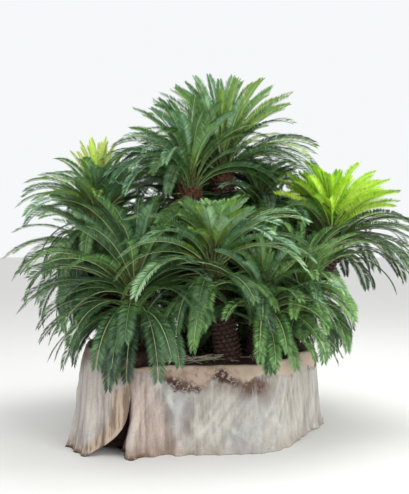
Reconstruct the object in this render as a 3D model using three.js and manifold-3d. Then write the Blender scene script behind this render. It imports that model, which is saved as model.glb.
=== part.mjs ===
// A clump of sago cycads, lifted from its bed and stood on its cloth-wrapped root ball.
// Millimetres, +Z up. The origin is on the flat underside of the ball, and the front faces -Y.
// Twelve heads rise from one root. Each is a leaning trunk that carries a stack of three
// collars, and each collar carries one whorl of fronds: old ones low, young ones in the bud.
import * as THREE from "three";
import { mergeVertices } from "three/addons/utils/BufferGeometryUtils.js";
import Module from "manifold-3d";

const wasm = await Module();
wasm.setup();

const GAP = 0.3; // clearance between pieces that bear on each other

// Root ball
const CLOTH = 14; // wrap thickness, with the mud that is caked on it
const RIM_HEIGHT = 662;
const SOIL_HEIGHT = 656; // level of the flat soil bed inside the main rim
const SIDE_LIFT = 108; // how much higher the side lobe's rim and bed stand
const OUTLINE_POINTS = 30;

// Trunks
const TRUNK_SIDES = 8;
const TRUNK_RADIUS = 98;
const FOOT_FLARE = 1.25;

// Collars, as heights of the three slices of a crown
const OLD_COLLAR = 70;
const FULL_COLLAR = 70;
const BUD = 130;

// Fronds
const FROND_LENGTH = 900;
const LEAFLET_PAIRS = 5;
const FROND_SPAN = 108; // from the rib to the tip of the longest leaflet
const STALK_SHARE = 0.17; // bare part of a frond, from its root
const RIB_WIDTH = 18;
const RIB_DEPTH = 16;
const RIB_TAPER = 0.45;
const LOWEST_TIP = 600; // no leaflet hangs nearer the ground

const SKIN = { cloth: 0xcfc8bd, soil: 0x4a3226, bark: 0x5b3a28 };
const LEAF = { old: 0x2f5a2e, full: 0x3c7a33, young: 0x5f9a35, lime: 0x9ccc1e };

// The heads. foot is where the trunk stands, crown is where the fronds spring from, size
// scales the fronds, and flush is the length of a head's pale new fronds, where it has them.
const HEADS = [
  { name: "top", foot: [130, 90], crown: [155, 120, 2215], size: 0.97 },
  { name: "upper_left", foot: [-130, -60], crown: [-125, -80, 2070], size: 0.93 },
  { name: "middle_right", foot: [385, 175], crown: [500, 230, 1880], size: 0.93 },
  { name: "left", foot: [-765, -140], crown: [-915, 0, 1870], size: 0.86, flush: 0.68 },
  { name: "right", foot: [700, 60], crown: [1100, 0, 1600], size: 0.95, flush: 0.72 },
  { name: "front", foot: [185, -590], crown: [70, -610, 1420], size: 0.92 },
  { name: "low_left", foot: [-590, -540], crown: [-550, -570, 1170], size: 1.0 },
  { name: "low_front", foot: [415, -430], crown: [470, -520, 1060], size: 0.82 },
  { name: "low_right", foot: [580, -170], crown: [810, -230, 1180], size: 0.8 },
  { name: "rear_left", foot: [-685, 180], crown: [-990, 450, 1480], size: 0.95 },
  { name: "rear", foot: [-40, 520], crown: [-90, 690, 1680], size: 0.97 },
  { name: "rear_right", foot: [520, 480], crown: [640, 700, 1380], size: 0.95 },
];

// The whorls of a head, from the oldest. rise is a frond's angle above level at its root, and
// every other frond stands higher by stagger and its neighbours lower. droop is how far a frond
// bends down along its length, fold is how far its leaflets stand up in a V, and root is how far
// out from the axis it starts, as a share of the trunk's radius.
const WHORLS = {
  old: { count: 5, rise: 6, stagger: 5, droop: 80, share: 0.93, fold: 0.15, root: 0.6 },
  full: { count: 6, rise: 40, stagger: 7, droop: 74, share: 1.0, fold: 0.3, root: 0.55 },
  young: { count: 5, rise: 69, stagger: 11, droop: 48, share: 0.88, fold: 0.45, root: 0.14 },
};
const FLUSH = { count: 6, rise: 67, stagger: 10, droop: 34, share: 1, fold: 0.45, root: 0.16 };

// Turns and lifts, in degrees, that a frond tries before it is made shorter or left out.
const TURNS = [0, 8, -8, 16, -16, 24, -24, 32];
const LIFTS = [0, 7, -7, 14, -12, 21];
const LENGTHS = [1, 0.94, 0.87];

// The photograph fixes these two outlines on the ground, front corners first.
const MAIN_OUTLINE = [
  [-545, -1010], [-340, -915], [120, -885], [520, -805], [850, -320], [1045, 120],
  [800, 700], [150, 890], [-430, 720], [-545, -150],
];
const SIDE_OUTLINE = [
  [-985, -830], [-700, -1000], [-400, -880], [-390, -200],
  [-450, 600], [-880, 520], [-1080, -200],
];

// How far the wall leans in as it rises: [height, share of the outline on the ground]. Each
// lobe leans towards its own centre, and sideways by its own share of that.
const WALL = [
  [0, 1], [48, 0.975], [230, 0.94], [480, 0.91], [560, 0.897], [RIM_HEIGHT, 0.865],
];
const MAIN_LEAN = { centre: [-300, -60], sideways: 0.5 };
const SIDE_LEAN = { centre: [-500, -250], sideways: 1.7 };
const DEG = Math.PI / 180;

// A seeded source of numbers from 0 to 1.
function seeded(seed) {
  let state = seed;
  return () => {
    state = (state + 0x6d2b79f5) | 0;
    let t = Math.imul(state ^ (state >>> 15), 1 | state);
    t = (t + Math.imul(t ^ (t >>> 7), 61 | t)) ^ t;
    return ((t ^ (t >>> 14)) >>> 0) / 4294967296;
  };
}

// Geometry from corner points and triangles.
function geometryOf(points, triangles) {
  const geometry = new THREE.BufferGeometry().setFromPoints(points);
  geometry.setIndex(triangles.flat());
  return geometry;
}

function solidOf(geometry) {
  const bare = geometry.clone();
  bare.deleteAttribute("normal");
  bare.deleteAttribute("uv");
  const merged = mergeVertices(bare, 1e-3);
  return new wasm.Manifold(
    new wasm.Mesh({
      numProp: 3,
      vertProperties: new Float32Array(merged.attributes.position.array),
      triVerts: new Uint32Array(merged.index.array),
    }),
  );
}

function meshOf(name, solid, colour, roughness) {
  const made = solid.getMesh();
  const geometry = new THREE.BufferGeometry();
  geometry.setAttribute("position", new THREE.BufferAttribute(made.vertProperties, 3));
  geometry.setIndex(new THREE.BufferAttribute(made.triVerts, 1));
  const flat = geometry.toNonIndexed();
  flat.computeVertexNormals();
  const material = new THREE.MeshStandardMaterial({ color: colour, roughness, metalness: 0 });
  const mesh = new THREE.Mesh(flat, material);
  mesh.name = name;
  return mesh;
}

// A closed solid through level rings of equal count, each anticlockwise from above.
function loft(rings) {
  const count = rings[0].length;
  const points = rings.flat();
  const triangles = [];
  rings.slice(1).forEach((_, level) => {
    for (let i = 0; i < count; i++) {
      const a = level * count + i;
      const b = level * count + ((i + 1) % count);
      triangles.push([a, b, b + count], [a, b + count, a + count]);
    }
  });
  const middleOf = (ring) =>
    ring.reduce((sum, p) => sum.add(p), new THREE.Vector3()).divideScalar(count);
  const under = points.push(middleOf(rings[0])) - 1;
  const over = points.push(middleOf(rings.at(-1))) - 1;
  const last = (rings.length - 1) * count;
  for (let i = 0; i < count; i++) {
    const next = (i + 1) % count;
    triangles.push([under, next, i], [over, last + i, last + next]);
  }
  return solidOf(geometryOf(points, triangles));
}

function roundRing(x, y, z, radius, sides) {
  return Array.from({ length: sides }, (_, i) => {
    const angle = (i / sides) * 2 * Math.PI;
    return new THREE.Vector3(x + radius * Math.cos(angle), y + radius * Math.sin(angle), z);
  });
}

// Root ball: a cup of cloth drawn in towards its rim, and the soil that fills it.
function outlineOf(corners) {
  const curve = new THREE.CatmullRomCurve3(
    corners.map(([x, y]) => new THREE.Vector3(x, y, 0)), true, "centripetal",
  );
  return curve.getSpacedPoints(OUTLINE_POINTS).slice(0, OUTLINE_POINTS);
}

function wallShare(height, lift) {
  const levels = WALL.map(([z, share]) => [z + lift * (z / RIM_HEIGHT), share]);
  const upper = Math.max(1, levels.findIndex(([z]) => z >= height - 1e-6));
  const [z0, s0] = levels[upper - 1];
  const [z1, s1] = levels[upper];
  return s0 + ((s1 - s0) * (height - z0)) / (z1 - z0);
}

// The outline at a height, moved in square to its own edge by inset.
function wallRing(outline, lean, height, lift, inset) {
  const middle = new THREE.Vector3(...lean.centre, 0);
  const share = wallShare(height, lift);
  const wide = 1 - (1 - share) * lean.sideways;
  const ring = outline.map((p) => {
    const out = p.clone().sub(middle);
    return out.set(out.x * wide, out.y * share, 0).add(middle).setZ(height);
  });
  return ring.map((p, i) => {
    const along = ring[(i + 1) % ring.length].clone().sub(ring.at(i - 1)).normalize();
    return new THREE.Vector3(p.x - along.y * inset, p.y + along.x * inset, p.z);
  });
}

function ballPieces(corners, lean, lift) {
  const outline = outlineOf(corners);
  const heights = WALL.map(([z]) => z + lift * (z / RIM_HEIGHT));
  const ring = (height, inset) => wallRing(outline, lean, height, lift, inset);
  const wall = (inset) => heights.map((z) => ring(z, inset));
  // One lofting for the room in the cup and the soil that fills it, so that they stay parallel.
  const filling = (inset) => {
    const rings = wall(inset);
    rings[0] = ring(CLOTH, inset);
    return loft([...rings, rings.at(-1).map((p) => p.clone().setZ(p.z + 20))]);
  };
  const cup = loft(wall(0)).subtract(filling(CLOTH));
  const soil = filling(CLOTH + 2 * GAP)
    .trimByPlane([0, 0, 1], CLOTH + GAP)
    .trimByPlane([0, 0, -1], -(SOIL_HEIGHT + lift));
  return { cup, soil, grown: loft(wall(-3 * GAP)) };
}

// The dark hollow low down in the slit, where the side lobe's cloth hangs clear of the soil.
function slitHollow() {
  const [left, right, top, depth] = [-780, -470, 470, 520];
  const outline = new THREE.Shape();
  outline.moveTo(left, -1);
  outline.quadraticCurveTo(left + 215, top * 0.42, right - 55, top);
  outline.lineTo(right, top);
  outline.lineTo(right, -1);
  const wedge = new THREE.ExtrudeGeometry(outline, { depth, bevelEnabled: false, curveSegments: 4 });
  wedge.rotateX(Math.PI / 2);
  wedge.translate(0, -720, 0);
  return solidOf(wedge);
}

const main = ballPieces(MAIN_OUTLINE, MAIN_LEAN, 0);
const side = ballPieces(SIDE_OUTLINE, SIDE_LEAN, SIDE_LIFT);
const hollow = slitHollow();
const aboveMain = main.grown;
const ball = {
  wrap_main: main.cup,
  soil_main: main.soil,
  wrap_side: side.cup.subtract(aboveMain).subtract(hollow),
  soil_side: side.soil.subtract(aboveMain).subtract(hollow),
};

// Trunks: a flared foot on the soil bed, and a shaft that bends towards its crown.
const isOnSide = (head) => head.foot[0] < MAIN_OUTLINE.at(-1)[0];

function trunkOf(head) {
  const [x, y, z] = head.crown;
  const bed = SOIL_HEIGHT + (isOnSide(head) ? SIDE_LIFT : 0) + GAP;
  const top = z - FULL_COLLAR / 2 - OLD_COLLAR - 2 * GAP;
  const path = new THREE.QuadraticBezierCurve3(
    new THREE.Vector3(head.foot[0], head.foot[1], bed),
    new THREE.Vector3((head.foot[0] * 2 + x) / 3, (head.foot[1] * 2 + y) / 3, (bed + top) / 2),
    new THREE.Vector3(x, y, top),
  );
  const stations = [[0, FOOT_FLARE], [0.12, 1.08], [0.5, 0.95], [0.88, 1], [1, 1.06]];
  return loft(
    stations.map(([share, swell]) => {
      const p = path.getPoint(share);
      return roundRing(p.x, p.y, p.z, TRUNK_RADIUS * swell, TRUNK_SIDES);
    }),
  );
}

// Collars: three slices that stack on the trunk, the top one a closed bud.
function collarsOf(head) {
  const [x, y, z] = head.crown;
  const slice = (low, high, wide, narrow) =>
    loft([
      roundRing(x, y, low, TRUNK_RADIUS * wide, TRUNK_SIDES),
      roundRing(x, y, high, TRUNK_RADIUS * narrow, TRUNK_SIDES),
    ]);
  const seam = z - FULL_COLLAR / 2;
  return {
    old: { solid: slice(seam - GAP - OLD_COLLAR, seam - GAP, 1.05, 0.98), spring: seam - OLD_COLLAR / 2 },
    full: { solid: slice(seam, seam + FULL_COLLAR, 0.95, 0.8), spring: z },
    young: {
      solid: slice(seam + FULL_COLLAR + GAP, seam + FULL_COLLAR + BUD, 0.72, 0.22),
      spring: seam + FULL_COLLAR + BUD * 0.35,
    },
  };
}

// A frond: a three-sided rib on a drooping arc, with a thin pointed leaflet on each side of
// every stretch of it. The notches between leaflets reach the rib.
function ribStations(frond) {
  const shares = [0, STALK_SHARE];
  const leafy = 0.96 - STALK_SHARE;
  for (let i = 1; i <= LEAFLET_PAIRS; i++) shares.push(STALK_SHARE + (leafy * i) / LEAFLET_PAIRS);
  shares.push(1);
  const point = new THREE.Vector3(...frond.root);
  const stations = [];
  const steps = 4;
  shares.forEach((share, index) => {
    const from = index ? shares[index - 1] : 0;
    for (let k = 0; index && k < steps; k++) {
      const middle = from + ((share - from) * (k + 0.5)) / steps;
      point.addScaledVector(directionAt(frond, middle), ((share - from) / steps) * frond.length);
    }
    stations.push({ share, point: point.clone(), along: directionAt(frond, share) });
  });
  return stations;
}

function angleAt(frond, share) {
  return (frond.rise - frond.droop * share ** 1.35) * DEG;
}

function directionAt(frond, share) {
  const rise = angleAt(frond, share);
  const heading = frond.heading * DEG;
  return new THREE.Vector3(
    Math.cos(rise) * Math.cos(heading), Math.cos(rise) * Math.sin(heading), Math.sin(rise),
  );
}

// The share of the full span that a leaflet has at its place on the frond.
function spanAt(share) {
  const along = (share - STALK_SHARE) / (1 - STALK_SHARE);
  return 0.5 + 0.5 * Math.sin(Math.PI * Math.min(1, 0.12 + along * 0.86)) ** 0.8;
}

// bare is true for the blade alone, without its stalk.
function frondSolid(frond, bare = false) {
  const stations = ribStations(frond).slice(bare ? 1 : 0);
  const tip = stations.pop().point;
  const heading = frond.heading * DEG;
  const left = new THREE.Vector3(-Math.sin(heading), Math.cos(heading), 0);
  const points = [];
  stations.forEach(({ share, point, along }) => {
    const size = 1 - (1 - RIB_TAPER) * share;
    const up = along.clone().cross(left);
    const high = point.clone().addScaledVector(up, (RIB_DEPTH * size) / 2);
    points.push(
      high.clone().addScaledVector(left, (RIB_WIDTH * size) / 2),
      high.clone().addScaledVector(left, (-RIB_WIDTH * size) / 2),
      point.clone().addScaledVector(up, (-RIB_DEPTH * size) / 2),
    );
  });
  const triangles = [[1, 0, 2]];
  for (let i = 0; i < stations.length - 1; i++) {
    const [l, r, b] = [3 * i, 3 * i + 1, 3 * i + 2];
    const [nl, nr, nb] = [l + 3, r + 3, b + 3];
    triangles.push([r, nr, nl], [r, nl, l]);
    if (!bare && i === 0) {
      triangles.push([l, nl, nb], [l, nb, b], [nr, r, b], [nr, b, nb]);
      continue;
    }
    const [here, next] = [stations[i], stations[i + 1]];
    const up = next.along.clone().cross(left);
    const span = frond.span * spanAt((here.share + next.share) / 2);
    const ahead = here.point.distanceTo(next.point) * 0.42;
    const leafletTip = (sideways) =>
      next.point
        .clone()
        .addScaledVector(left, span * sideways)
        .addScaledVector(up, span * frond.fold)
        .addScaledVector(next.along, ahead);
    const p = points.push(leafletTip(1)) - 1;
    const q = points.push(leafletTip(-1)) - 1;
    triangles.push([l, nl, p], [nl, nb, p], [nb, b, p], [b, l, p]);
    triangles.push([nr, r, q], [r, b, q], [b, nb, q], [nb, nr, q]);
  }
  const [l, r, b] = [3, 2, 1].map((back) => 3 * stations.length - back);
  const end = points.push(tip) - 1;
  triangles.push([l, r, end], [r, b, end], [b, l, end]);
  return solidOf(geometryOf(points, triangles));
}

// True where two solids' boxes meet and so do the solids.
function meets(solid, others) {
  const box = solid.boundingBox();
  return others.some((other) => {
    const near = [0, 1, 2].every(
      (k) => box.min[k] < other.box.max[k] + 1 && box.max[k] > other.box.min[k] - 1,
    );
    return near && solid.intersect(other.solid).volume() > 1e-4;
  });
}

const boxed = (solid) => ({ solid, box: solid.boundingBox() });

// The first of the shifted fronds that is clear of everything, or nothing.
function clearFrond(wanted, obstacles, kin) {
  for (const keep of LENGTHS) {
    for (const lift of LIFTS) {
      for (const turn of TURNS) {
        const frond = {
          ...wanted,
          heading: wanted.heading + turn,
          rise: wanted.rise + lift,
          length: wanted.length * keep,
        };
        const whole = frondSolid(frond);
        if (whole.boundingBox().min[2] < LOWEST_TIP || meets(whole, obstacles)) continue;
        const blade = frondSolid(frond, true);
        if (!meets(blade, kin)) return { whole, blade };
      }
    }
  }
  return null;
}

// The fronds of one whorl, spread evenly round the head.
function whorlOf(head, whorl, collar, startTurn, random, obstacles) {
  const lean = new THREE.Vector2(head.crown[0] - head.foot[0], head.crown[1] - head.foot[1]);
  const tilt = Math.atan2(lean.length(), head.crown[2] - SOIL_HEIGHT) / DEG;
  const kin = [];
  const fronds = [];
  for (let i = 0; i < whorl.count; i++) {
    const heading = startTurn + (i * 360) / whorl.count + (random() - 0.5) * 22;
    const towardsLean = Math.cos(heading * DEG - Math.atan2(lean.y, lean.x));
    const level = whorl.rise + (i % 2 ? 1 : -1) * whorl.stagger;
    const rise = level - tilt * towardsLean + (random() - 0.5) * 8;
    const inside = TRUNK_RADIUS * whorl.root;
    const wanted = {
      root: [
        head.crown[0] + inside * Math.cos(heading * DEG),
        head.crown[1] + inside * Math.sin(heading * DEG),
        collar.spring,
      ],
      heading,
      rise,
      droop: whorl.droop * (0.92 + 0.16 * random()),
      length: FROND_LENGTH * head.size * whorl.share * (0.95 + 0.08 * random()),
      span: FROND_SPAN * head.size,
      fold: whorl.fold,
    };
    const found = clearFrond(wanted, obstacles, kin);
    if (!found) continue;
    kin.push(boxed(found.blade));
    fronds.push(found.whole);
  }
  return fronds;
}

const clump = new THREE.Group();
clump.add(meshOf("wrap_main", ball.wrap_main, SKIN.cloth, 0.9));
clump.add(meshOf("wrap_side", ball.wrap_side, SKIN.cloth, 0.9));
clump.add(meshOf("soil_main", ball.soil_main, SKIN.soil, 0.95));
clump.add(meshOf("soil_side", ball.soil_side, SKIN.soil, 0.95));

const crowns = HEADS.map((head) => ({ head, trunk: trunkOf(head), collars: collarsOf(head) }));
const limbs = [
  ...Object.values(ball),
  ...crowns.flatMap(({ trunk, collars }) => [trunk, ...Object.values(collars).map((c) => c.solid)]),
].map(boxed);

const placed = [];
crowns.forEach(({ head, trunk, collars }, index) => {
  const random = seeded(101 + index);
  clump.add(meshOf(`trunk_${head.name}`, trunk, SKIN.bark, 0.9));
  ["young", "full", "old"].forEach((age, turn) => {
    const flush = age === "young" && head.flush;
    const whorl = flush ? { ...FLUSH, share: head.flush } : WHORLS[age];
    const own = collars[age].solid;
    const obstacles = [...limbs.filter(({ solid }) => solid !== own), ...placed];
    const start = 360 * random() + turn * 25;
    const fronds = whorlOf(head, whorl, collars[age], start, random, obstacles);
    placed.push(...fronds.map(boxed));
    const fused = wasm.Manifold.union([own, ...fronds]);
    const colour = flush ? LEAF.lime : LEAF[age];
    clump.add(meshOf(`fronds_${head.name}_${age}`, fused, colour, 0.5));
  });
});

export default clump;
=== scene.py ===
"""A clump of sago cycads on its cloth-wrapped root ball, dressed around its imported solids."""

import math
import random

import bpy
import numpy as np
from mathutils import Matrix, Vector, noise


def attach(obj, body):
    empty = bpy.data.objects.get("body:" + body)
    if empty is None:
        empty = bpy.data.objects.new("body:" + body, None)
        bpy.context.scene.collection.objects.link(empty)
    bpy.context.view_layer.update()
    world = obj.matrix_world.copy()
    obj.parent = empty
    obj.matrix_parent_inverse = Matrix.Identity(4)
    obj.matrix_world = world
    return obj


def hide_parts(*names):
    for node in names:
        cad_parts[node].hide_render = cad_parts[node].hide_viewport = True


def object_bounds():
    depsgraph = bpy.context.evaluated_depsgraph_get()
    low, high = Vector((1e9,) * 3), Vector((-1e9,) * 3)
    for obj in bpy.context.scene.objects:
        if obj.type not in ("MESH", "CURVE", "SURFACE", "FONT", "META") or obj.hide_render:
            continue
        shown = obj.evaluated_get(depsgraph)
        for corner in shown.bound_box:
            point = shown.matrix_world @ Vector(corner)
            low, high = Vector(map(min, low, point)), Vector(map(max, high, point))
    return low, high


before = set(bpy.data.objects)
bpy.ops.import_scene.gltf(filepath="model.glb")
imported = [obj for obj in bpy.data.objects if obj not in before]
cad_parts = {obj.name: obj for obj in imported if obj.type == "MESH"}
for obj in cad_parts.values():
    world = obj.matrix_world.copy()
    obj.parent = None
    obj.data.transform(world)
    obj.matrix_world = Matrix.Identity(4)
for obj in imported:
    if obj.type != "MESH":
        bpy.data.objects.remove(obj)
solids_box = [list(corner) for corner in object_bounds()]

# The main part of the wrap: heavy, weathered cloth, drawn round the ball and lashed tight under
# its rim, so that it leans in as it rises and flares in folds at the hem. Mud has dried on its
# shoulder in a crust with a ragged lower edge, and has run down and stained the cloth below.
MAIN_CORNERS = [
    (-0.545, -1.01), (-0.34, -0.915), (0.12, -0.885), (0.52, -0.805), (0.85, -0.32),
    (1.045, 0.12), (0.8, 0.7), (0.15, 0.89), (-0.43, 0.72), (-0.545, -0.15),
]
MAIN_LEAN = {"centre": (-0.3, -0.06), "sideways": 0.5}
MAIN_POINTS = 560
SEAM_SHIFT = 40  # points from the outline's start, behind the side lobe, to its first corner
MAIN_RIM = 0.66
WALL_HEIGHTS = np.array([0, 0.048, 0.23, 0.48, 0.56, 0.662])
WALL_SHARES = np.array([1, 0.975, 0.94, 0.91, 0.897, 0.865])
WALL_ROWS = 54
WRINKLE_DEPTH = 0.0045
MUD_CRUST = 0.006  # how far the dried mud stands off the cloth
MUD_EDGE = [  # lower edge of the mud along the front: (x, height)
    (-0.55, 0.66), (-0.42, 0.61), (-0.3, 0.565), (-0.2, 0.5), (-0.1, 0.492), (0.03, 0.494),
    (0.07, 0.58), (0.16, 0.578), (0.24, 0.54), (0.32, 0.522), (0.38, 0.54), (0.43, 0.575),
    (0.58, 0.57), (0.72, 0.535), (0.82, 0.51), (0.95, 0.55),
]
MUD_EDGE_BEHIND = 0.56
STAINS = [  # where mud ran down the front: (strength, x, width, height, how tall)
    (1.25, 0.41, 0.14, 0.485, 0.09), (0.6, 0.13, 0.12, 0.5, 0.05),
]
CREASES = 46
SWAGS = [  # long folds across the front: (x, height, slant, length, width, depth)
    (0.2, 0.18, 1.5, 0.1, 0.045, 0.013), (-0.03, 0.16, 0.97, 0.13, 0.05, 0.011),
    (0.6, 0.17, 1.1, 0.1, 0.045, 0.01),
]
MAIN_TURN_IN = [  # how the cloth turns in over the rim: (how far in, how far down)
    (0.002, -0.005), (0.02, -0.002), (0.032, 0.02), (0.042, 0.07),
]


def smooth_outline(corners, count):
    """Evenly spaced points of the closed curve through the corners."""
    corner = np.array(corners)
    points = []
    for i in range(len(corner)):
        p0, p1, p2, p3 = (corner[(i + k) % len(corner)] for k in (-1, 0, 1, 2))
        d0, d1, d2 = (math.sqrt(math.dist(a, b)) for a, b in ((p0, p1), (p1, p2), (p2, p3)))
        leave = ((p1 - p0) / d0 - (p2 - p0) / (d0 + d1) + (p2 - p1) / d1) * d1
        arrive = ((p2 - p1) / d1 - (p3 - p1) / (d1 + d2) + (p3 - p2) / d2) * d1
        for t in np.linspace(0, 1, 60, endpoint=False):
            ends = (2 * t**3 - 3 * t**2 + 1) * p1 + (3 * t**2 - 2 * t**3) * p2
            points.append(ends + (t**3 - 2 * t**2 + t) * leave + (t**3 - t**2) * arrive)
    loop = np.array(points + points[:1])
    run = np.concatenate([[0], np.cumsum(np.linalg.norm(np.diff(loop, axis=0), axis=1))])
    at = np.linspace(0, run[-1], count, endpoint=False)
    return np.column_stack([np.interp(at, run, loop[:, k]) for k in (0, 1)])


def unit(vectors):
    """The same directions, each of length 1."""
    return vectors / np.linalg.norm(vectors, axis=-1, keepdims=True)


def outward(outline):
    """The outline's normals, on the ground."""
    along = unit(np.roll(outline, -1, axis=0) - np.roll(outline, 1, axis=0))
    return np.column_stack([along[:, 1], -along[:, 0]])


def taper(lean, height, lift):
    """The shares of its outline that a wall has at a height, across and from front to back."""
    share = np.interp(height, WALL_HEIGHTS * (1 + lift / WALL_HEIGHTS[-1]), WALL_SHARES)
    return np.column_stack([1 - (1 - share) * lean["sideways"], share])


def on_wall(outline, lean, height, lift=0.0, out=0.0, normals=None):
    """The wall's points above the outline's, at a height for each, moved outward by out."""
    centre = np.array(lean["centre"])
    level = centre + (outline - centre) * taper(lean, height, lift)
    normals = outward(outline) if normals is None else normals
    level = level + normals * np.reshape(out, (-1, 1))
    return np.column_stack([level, np.broadcast_to(height, len(outline))])


def ramp(value, start, end):
    """0 up to start, 1 from end, and an even slope between them."""
    return np.clip((value - start) / (end - start), 0, 1)


def hump(value, middle, width):
    """A rounded hump: 1 at its middle, and about a third at width from it."""
    return np.exp(-(((value - middle) / width) ** 2))


def ripple(turn, waves, seed, slant=0.0):
    """A sum of rounded folds round the ball; waves are (how many, how deep)."""
    chance = random.Random(seed)
    depth = 0
    for count, deep in waves:
        phase = 2 * math.pi * (count * turn + chance.random())
        bend = slant * chance.uniform(-1, 1)
        depth = depth + deep * (1 - 2 * np.abs(np.sin(phase / 2 + bend)) ** 0.7)
    return depth


def wrinkled(run, height, lean, seed):
    """Soft irregular wrinkles along a row of a wall, about -1 to 1. They slant by lean."""
    depth = []
    for along, rise in zip(run, height):
        stir = 0.8 * noise.noise(Vector((along * 2.3, rise * 3, seed)))
        across = along + lean * rise
        wide = abs(noise.noise(Vector((across * 6 + stir, rise * 1.6, seed + 3))))
        narrow = abs(noise.noise(Vector((across * 15 + 2 * stir, rise * 3.4, seed + 7))))
        depth.append(1 - 2.6 * wide - 1.4 * narrow)
    return np.array(depth)


def fold_shade_of(depth, wrinkles):
    """How deep in a fold the cloth lies, from 0 to 1, for the painted shade in the cloth's folds and
    the painted highlight on their crests.
    """
    return np.clip(0.4 - (depth - 0.006) / 0.04 - 0.3 * wrinkles, 0, 1)


def skin(rows, closed=True, low_end=False, high_end=False):
    """Points and faces of a sheet through rows of points, which go round if closed.

    low_end and high_end fill the first and the last row.
    """
    rows = np.asarray(rows)
    count = rows.shape[1]
    across = np.arange(count if closed else count - 1)
    along = (across + 1) % count
    last = (len(rows) - 1) * count
    faces = []
    for low in range(0, last, count):
        high = low + count
        faces += np.column_stack([low + across, low + along, high + along, high + across]).tolist()
    if low_end:
        faces.append(list(range(count))[::-1])
    if high_end:
        faces.append(list(range(last, last + count)))
    return rows.reshape(-1, 3), faces


def piece(name, points, faces, smooth=True):
    """A mesh object in the frame of the solids."""
    mesh = bpy.data.meshes.new(name)
    mesh.from_pydata(np.asarray(points, float).tolist(), [], faces)
    mesh.polygons.foreach_set("use_smooth", [smooth] * len(mesh.polygons))
    mesh.update()
    made = bpy.data.objects.new(name, mesh)
    bpy.context.scene.collection.objects.link(made)
    return made


def lay_row(sheet, row, marks, lay, fold_shade=0.0):
    """Adds a row of points to a sheet of cloth, with what its material reads there, and how deep in a
    fold it lies, for the painted shade of the folds.
    """
    sheet["rows"].append(row)
    for name, values in (("marks", marks), ("lay", lay), ("folds", [fold_shade])):
        sheet[name].append([np.broadcast_to(value, len(row)) for value in values])


def cloth_piece(name, sheet, closed=True):
    """A sheet as a piece of cloth. Its mesh keeps up to three values of a kind for each point."""
    made = piece(name, *skin(sheet["rows"], closed))
    for kind in ("marks", "lay", "folds"):
        values = np.array(sheet[kind]).transpose(0, 2, 1)
        values = values.reshape(-1, values.shape[2])
        kept = np.zeros((len(values), 4), np.float32)
        kept[:, 3] = 1
        kept[:, : values.shape[1]] = values
        store = made.data.attributes.new(kind, "FLOAT_COLOR", "POINT")
        store.data.foreach_set("color", kept.ravel())
    made.data.materials.append(cloth)
    return made


class Stuff:
    """A socket of a material's nodes. Operators on it add Math nodes."""

    def __init__(self, tree, socket=None):
        self.tree = tree
        self.socket = socket

    def node(self, kind, settings=None, values=None, out=0):
        """One output of a new node, whose settings are made before its sockets are filled."""
        made = self.tree.nodes.new("ShaderNode" + kind)
        for name, value in (settings or {}).items():
            if name == "stops":
                stops = made.color_ramp.elements
                for place, colour in value:
                    (stops[0] if place == value[0][0] else stops.new(place)).color = colour
                stops[0].position = value[0][0]
                stops.remove(stops[-1])
            else:
                setattr(made, name, value)
        for name, value in (values or {}).items():
            if isinstance(value, Stuff):
                self.tree.links.new(value.socket, made.inputs[name])
            else:
                made.inputs[name].default_value = value
        return Stuff(self.tree, made.outputs[out])

    def maths(self, operation, *others):
        return self.node("Math", {"operation": operation}, dict(enumerate((self, *others))))

    def __add__(self, other):
        return self.maths("ADD", other)

    def __mul__(self, other):
        return self.maths("MULTIPLY", other)

    def __sub__(self, other):
        return self.maths("SUBTRACT", other)

    def __rsub__(self, other):
        return self.node("Math", {"operation": "SUBTRACT"}, {0: other, 1: self})

    __radd__ = __add__
    __rmul__ = __mul__

    def between(self, low, high):
        """0 up to low, 1 from high, and a soft step between them. low may be the higher."""
        settings = {"interpolation_type": "SMOOTHSTEP"}
        return self.node("MapRange", settings, {"Value": self, "From Min": low, "From Max": high})

    def stretched(self, by):
        return self.node("VectorMath", {"operation": "MULTIPLY"}, {0: self, 1: by})

    def grain(self, scale, detail=3.0, rough=0.55):
        """Noise from 0 to 1 at these coordinates."""
        values = {"Vector": self, "Scale": scale, "Detail": detail, "Roughness": rough}
        return self.node("TexNoise", {}, values)

    def spot(self):
        """The place of each point of a surface, in metres."""
        return self.node("TexCoord", out="Object")

    def kept(self, name, count=3):
        """The values of a kind that a mesh keeps for each of its points."""
        colour = self.node("Attribute", {"attribute_name": name})
        return [self.node("SeparateColor", {}, {0: colour}, out=k) for k in range(count)]


def hue(red, green, blue):
    """A colour as the eye reads it, from 0 to 255, in the light's own values."""
    linear = [(v / 255 / 12.92 if v < 11 else ((v / 255 + 0.055) / 1.055) ** 2.4)
              for v in (red, green, blue)]
    return (*linear, 1.0)


def blend(first, second, share):
    """A colour between two; each may be a socket."""
    lead = next(x for x in (share, first, second) if isinstance(x, Stuff))
    return lead.node("Mix", {"data_type": "RGBA"}, {0: share, 6: first, 7: second}, out=2)


def new_material(name, **plain):
    """A material, the start of its nodes and its shader. plain sets the shader's own sockets."""
    made = bpy.data.materials.new(name)
    made.use_nodes = True
    shader = made.node_tree.nodes["Principled BSDF"]
    for socket, value in plain.items():
        shader.inputs[socket.replace("_", " ")].default_value = value
    return made, Stuff(made.node_tree), shader


def layered(colour, layers):
    """A colour under layers, each of them (its colour, how much of it shows)."""
    for over, share in layers:
        colour = blend(colour, over, share)
    return colour


def feed(shader, socket, stuff):
    stuff.tree.links.new(stuff.socket, shader.inputs[socket])


def emboss(shader, relief, strength, depth):
    """Gives a shader the bumps of a relief. depth is in metres."""
    values = {"Strength": strength, "Distance": depth, "Height": relief}
    feed(shader, "Normal", relief.node("Bump", {}, values))


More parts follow.
